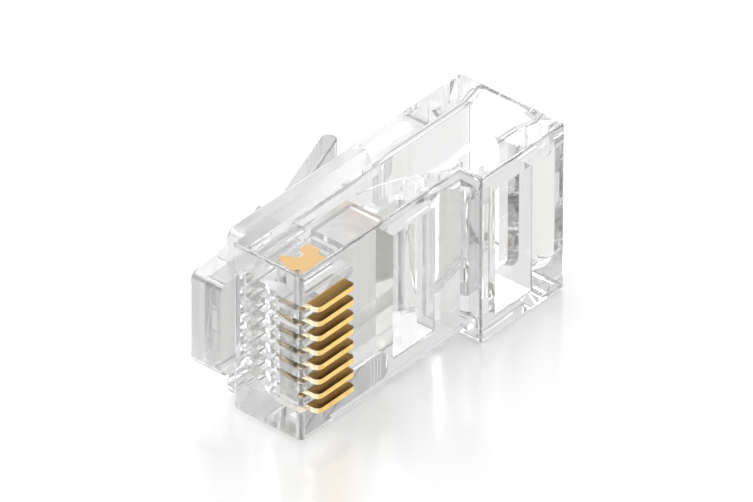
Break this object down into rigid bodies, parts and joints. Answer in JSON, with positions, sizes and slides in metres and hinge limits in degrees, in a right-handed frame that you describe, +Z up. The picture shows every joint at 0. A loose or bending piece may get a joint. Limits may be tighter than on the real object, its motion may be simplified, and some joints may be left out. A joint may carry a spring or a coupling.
{
  "type": "modular plug",
  "caption": "Clear modular plug for network cable, uncrimped, with gold contact blades, a springy latch lever and a cable cavity with folding strain relief bars.",
  "frame": {"origin": "middle of the plug's outline, on the side wall that it lies on", "axes": "+X along the plug from the nose to the cable entry, +Y from the contact face to the latch, +Z up, across the plug"},
  "size_m": [0.0226, 0.0138, 0.0117],
  "materials": {
    "clear_polycarbonate": "moulded, glossy, colourless",
    "gold_plated_bronze": "gold plated, stamped"
  },
  "bodies": {
    "housing": {"housing": "clear_polycarbonate"},
    "latch": {"latch_lever": "clear_polycarbonate"},
    "wire_bar": {"wire_bar": "clear_polycarbonate"},
    "jacket_bar": {"jacket_bar": "clear_polycarbonate"},
    "contact_1": {"contact_1": "gold_plated_bronze"},
    "contact_2": {"contact_2": "gold_plated_bronze"},
    "contact_3": {"contact_3": "gold_plated_bronze"},
    "contact_4": {"contact_4": "gold_plated_bronze"},
    "contact_5": {"contact_5": "gold_plated_bronze"},
    "contact_6": {"contact_6": "gold_plated_bronze"},
    "contact_7": {"contact_7": "gold_plated_bronze"},
    "contact_8": {"contact_8": "gold_plated_bronze"}
  },
  "joints": [
    {"name": "latch_press", "type": "hinge", "parent": "housing", "child": "latch", "pos_m": [-0.00855, 0.00175, 0.00584], "axis": [0, 0, -1], "range_deg": [0, 14], "stiffness_Nm_per_rad": 0.2},
    {"name": "wire_bar_fold", "type": "hinge", "parent": "housing", "child": "wire_bar", "pos_m": [0.00145, -0.00345, 0.00584], "axis": [0, 0, -1], "range_deg": [0, 12]},
    {"name": "jacket_bar_fold", "type": "hinge", "parent": "housing", "child": "jacket_bar", "pos_m": [0.00505, -0.00495, 0.00584], "axis": [0, 0, 1], "range_deg": [0, 35]},
    {"name": "contact_1_crimp", "type": "slide", "parent": "housing", "child": "contact_1", "axis": [0, 1, 0], "range_m": [0, 0.00115]},
    {"name": "contact_2_crimp", "type": "slide", "parent": "housing", "child": "contact_2", "axis": [0, 1, 0], "range_m": [0, 0.00115]},
    {"name": "contact_3_crimp", "type": "slide", "parent": "housing", "child": "contact_3", "axis": [0, 1, 0], "range_m": [0, 0.00115]},
    {"name": "contact_4_crimp", "type": "slide", "parent": "housing", "child": "contact_4", "axis": [0, 1, 0], "range_m": [0, 0.00115]},
    {"name": "contact_5_crimp", "type": "slide", "parent": "housing", "child": "contact_5", "axis": [0, 1, 0], "range_m": [0, 0.00115]},
    {"name": "contact_6_crimp", "type": "slide", "parent": "housing", "child": "contact_6", "axis": [0, 1, 0], "range_m": [0, 0.00115]},
    {"name": "contact_7_crimp", "type": "slide", "parent": "housing", "child": "contact_7", "axis": [0, 1, 0], "range_m": [0, 0.00115]},
    {"name": "contact_8_crimp", "type": "slide", "parent": "housing", "child": "contact_8", "axis": [0, 1, 0], "range_m": [0, 0.00115]}
  ],
  "couplings": [
    {"joint": "contact_2_crimp", "follows": "contact_1_crimp", "ratio": 1},
    {"joint": "contact_3_crimp", "follows": "contact_1_crimp", "ratio": 1},
    {"joint": "contact_4_crimp", "follows": "contact_1_crimp", "ratio": 1},
    {"joint": "contact_5_crimp", "follows": "contact_1_crimp", "ratio": 1},
    {"joint": "contact_6_crimp", "follows": "contact_1_crimp", "ratio": 1},
    {"joint": "contact_7_crimp", "follows": "contact_1_crimp", "ratio": 1},
    {"joint": "contact_8_crimp", "follows": "contact_1_crimp", "ratio": 1}
  ]
}
